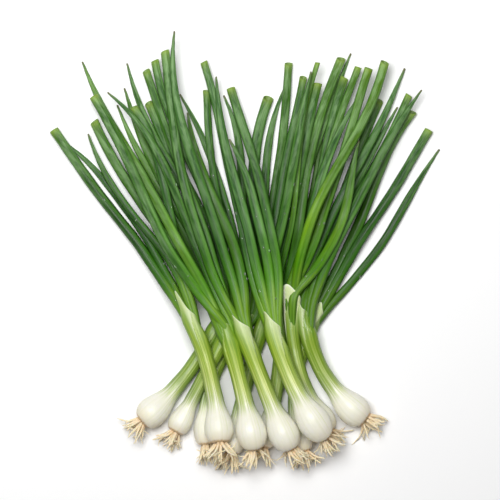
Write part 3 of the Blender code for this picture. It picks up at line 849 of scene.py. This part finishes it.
root_finish, tree, shader, skin, place = new_finish("root_skin", {
    "Roughness": 0.5, "IOR": 1.4, "Subsurface Weight": 0.25,
    "Subsurface Radius": (1.0, 0.7, 0.4), "Subsurface Scale": 0.0015})
wax = grouped(tree, bloom_group, {"Place": place, "Size": 220.0})
veins = grouped(tree, vein_group, {"Skin": skin, "Fineness": 2.0, "Stretch": 160.0})
colour = tinted(tree, wax["Bloom"], ROOT_CREAM, ROOT_TAN)
colour = tinted(tree, 0.45, colour, ROOT_CREAM)
colour = tinted(tree, mark_of(tree, "near_plate", 0.7), colour, ROOT_BROWN)
colour = tinted(tree, mark_of(tree, "old", 0.4), colour, ROOT_TAN)
tree.links.new(colour, shader.inputs["Base Color"])
tree.links.new(between(tree, veins["Veins"], 0.0, 1.0, 0.42, 0.62), shader.inputs["Roughness"])
raise_relief(tree, shader, veins["Veins"], 0.5, 0.0002)

ROOTS = 17                  # main roots of one tuft
SIDE_ROOTS = 11             # finer roots that leave a main one half way
SIDE_LENGTH = 0.5           # their length and radius, as shares of the main root's
SIDE_RADIUS = 0.42
SPLAY = (0.78, 0.55)        # how far a tuft fans out, aside and up
ROOT_LENGTHS = (0.0115, 0.0185)
ROOT_RADII = (0.00085, 0.00150)
BROWN_RUN = 0.0035          # how far from the plate a main root is brown
ROOT_RINGS = 15
ROOT_COLS = 8


def root_threads(start, toward, length, thick, lots):
    """Closed threads, one for each row of `start`.

    A thread's middle is start + toward times the run, plus a bend that grows with the square of
    the run and a small wave. Its radius falls to under half along it and rounds off at the end.
    """
    count = len(start)
    share = np.linspace(0.0, 1.0, ROOT_RINGS)[None, :, None]
    side = unit(np.cross(toward, (0.0, 0.0, 1.0)))
    up = np.cross(side, toward)
    bend = lots.normal(0, 0.24, (count, 1, 1)) * side[:, None]
    bend = bend + lots.normal(-0.10, 0.16, (count, 1, 1)) * up[:, None]
    wave = np.sin(share * lots.uniform(4, 9, (count, 1, 1)) + phase(lots, (count, 1, 1)))
    middle = start[:, None] + length[:, None, None] * (
        toward[:, None] * share + bend * share ** 2 + 0.03 * wave * share * side[:, None])
    radius = thick[:, None, None] * (1 - 0.55 * share ** 1.5)
    radius = radius * (1 + 0.10 * np.sin(share * 30 + phase(lots, (count, 1, 1))))
    radius = radius * np.sqrt(1 - 0.93 * np.clip((share - 0.93) / 0.07, 0, 1) ** 2)
    middle[..., 2] = np.maximum(middle[..., 2], radius[..., 0] + 0.0002)
    turn = 2 * np.pi * np.arange(ROOT_COLS) / ROOT_COLS
    ring = (side[:, None, None] * np.cos(turn)[None, None, :, None]
            + up[:, None, None] * np.sin(turn)[None, None, :, None])
    return middle, middle[:, :, None] + ring * radius[..., None]


for onion, path in onion_paths.items():
    lots = np.random.default_rng(int(onion[6:8]) + 300)
    ahead, aside, up = (path[row][2] for row in ("ahead", "aside", "up"))
    plate = around(path, np.array([0.0006]), np.zeros(1), 0.0, 0.0)[0]
    facing = lots.uniform(0, 2 * np.pi, ROOTS)
    reach = np.sqrt(lots.uniform(0.02, 1, ROOTS))
    out_x, out_y = reach * np.cos(facing), reach * np.sin(facing)
    start = plate + PLATE_RADIUS * 0.82 * (out_x[:, None] * aside + out_y[:, None] * up)
    toward = unit(-ahead + SPLAY[0] * (out_x + lots.normal(0, 0.12, ROOTS))[:, None] * aside
                  + SPLAY[1] * (out_y + lots.normal(0, 0.12, ROOTS))[:, None] * up)
    length = lots.uniform(*ROOT_LENGTHS, ROOTS)
    thick = lots.uniform(*ROOT_RADII, ROOTS)
    middles, mains = root_threads(start, toward, length, thick, lots)
    hosts = lots.choice(ROOTS, SIDE_ROOTS, replace=False)
    side_toward = unit(toward[hosts] + lots.normal(0, 0.55, (SIDE_ROOTS, 3)))
    branches = root_threads(middles[hosts, ROOT_RINGS // 2], side_toward,
                            length[hosts] * SIDE_LENGTH, thick[hosts] * SIDE_RADIUS, lots)[1]
    grid = np.concatenate([mains, branches])
    run = np.linspace(0.0, 0.014, ROOT_RINGS)[None, :, None] * np.ones(grid.shape[:3])
    old = lots.uniform(0, 1, (len(grid), 1, 1))
    near = np.exp(-run / BROWN_RUN)
    near[ROOTS:] = 0
    closed_tubes(f"{onion}_roots", grid, run, {"near_plate": near, "old": old}, root_finish)

# ------------------------------------------------------------
# Water drops.
# The bunch was rinsed: small clear drops cling to the upper side of the leaves.
# ------------------------------------------------------------

water, tree, shader, skin, place = new_finish("water", {
    "Base Color": (0.92, 1, 0.90, 1), "Roughness": 0.02, "IOR": 1.36, "Transmission Weight": 0.86})
raise_relief(tree, shader, noise(tree, place, 900.0, 2.0), 0.15, 0.0001)

DROPS = 110
DROP_RADII = (0.00045, 0.00115)
DOME = 0.55                 # height of a drop over its radius
DROP_RINGS = 7
DROP_COLS = 12


def drops_on(spots, lots):
    """Low domes: the ring at share t lies radius cos(t) out and DOME radius sin(t) up, and starts
    a little under the leaf's skin."""
    foot, out, ahead = spots
    foot = foot + out * 0.00005
    size = lots.uniform(*DROP_RADII, len(foot))[:, None, None, None]
    stretch = lots.uniform(0.8, 1.5, len(foot))[:, None, None, None]
    share = np.linspace(-0.35, np.pi / 2 * 0.97, DROP_RINGS)[None, :, None, None]
    turn = (2 * np.pi * np.arange(DROP_COLS) / DROP_COLS)[None, None, :, None]
    side = np.cross(out, ahead)
    along = ahead[:, None, None] * np.cos(turn) * stretch
    across = side[:, None, None] * np.sin(turn)
    return (foot[:, None, None] + size * np.cos(share) * (along - across)
            + size * DOME * np.sin(share) * out[:, None, None])


lots = np.random.default_rng(5)
feet, outs, aheads = [], [], []
for _ in range(DROPS):
    points = drop_spots[lots.integers(len(drop_spots))]
    ring = lots.integers(30, 150)
    col = lots.integers(int(LEAF_COLS * 0.34), int(LEAF_COLS * 0.66))
    foot = points[ring, col]
    ahead = points[ring + 1, col] - foot
    aside = points[ring, col - 1] - points[ring, col + 1]
    out = np.cross(aside, ahead)
    feet.append(foot)
    outs.append(unit(out))
    aheads.append(unit(ahead))
grid = drops_on([np.array(feet), np.array(outs), np.array(aheads)], lots)
closed_tubes("water_drops", grid, np.zeros(grid.shape[:3]), {}, water)

# ------------------------------------------------------------
# The table, light and camera.
# A white table top under one large soft lamp over the leaf end, with a weak fill from the other
# side. The camera looks straight down from far off.
# ------------------------------------------------------------

table_mesh = bpy.data.meshes.new("table_top")
table_mesh.from_pydata([(-4, -4, 0), (4, -4, 0), (4, 4, 0), (-4, 4, 0)], [], [(0, 1, 2, 3)])
table_top = placed("table_top", table_mesh)
table_finish = bpy.data.materials.new("table_white")
table_finish.use_nodes = True
tree = table_finish.node_tree
shader = tree.nodes["Principled BSDF"]
shader.inputs["Roughness"].default_value = 0.7
shader.inputs["Specular IOR Level"].default_value = 0.2
grain = noise(tree, put(tree, "ShaderNodeTexCoord").outputs["Object"], 3.0, 3.0)
white = tinted(tree, grain, (0.95, 0.95, 0.95, 1), (0.97, 0.97, 0.97, 1))
tree.links.new(white, shader.inputs["Base Color"])
table_mesh.materials.append(table_finish)


def add_lamp(name, place, size, watts):
    """A square soft lamp at `place` that faces the middle of the bunch."""
    light = bpy.data.lights.new(name, "AREA")
    light.shape = "SQUARE"
    light.size = size
    light.energy = watts
    lamp = placed(name, light)
    lamp.location = place
    away = -np.array(place)
    lamp.rotation_euler = (
        math.atan2(math.hypot(away[0], away[1]), -away[2]), 0.0, math.atan2(away[0], -away[1]))


add_lamp("soft_lamp", place=(-0.25, 0.44, 1.6), size=1.0, watts=40.0)
add_lamp("fill_lamp", place=(0.7, -0.8, 1.4), size=1.2, watts=3.0)

sky = bpy.data.worlds.new("pale_room")
sky.use_nodes = True
glow = sky.node_tree.nodes["Background"].inputs
glow["Color"].default_value = (1.0, 1.0, 1.0, 1)
glow["Strength"].default_value = 0.03
bpy.context.scene.world = sky
bpy.context.scene.view_settings.view_transform = "Standard"

VIEW_WIDTH = 0.400          # what the camera sees across at the height of the leaves
VIEW_HEIGHT = 0.018
VIEW_MIDDLE = (0.0043, 0.0008)
LENS = 200.0
SENSOR = 36.0
lens = bpy.data.cameras.new("camera")
lens.lens = LENS
lens.sensor_width = SENSOR
camera = placed("camera", lens)
camera.location = (*VIEW_MIDDLE, VIEW_HEIGHT + VIEW_WIDTH * LENS / SENSOR)
bpy.context.scene.camera = camera
lens.clip_end = 20.0
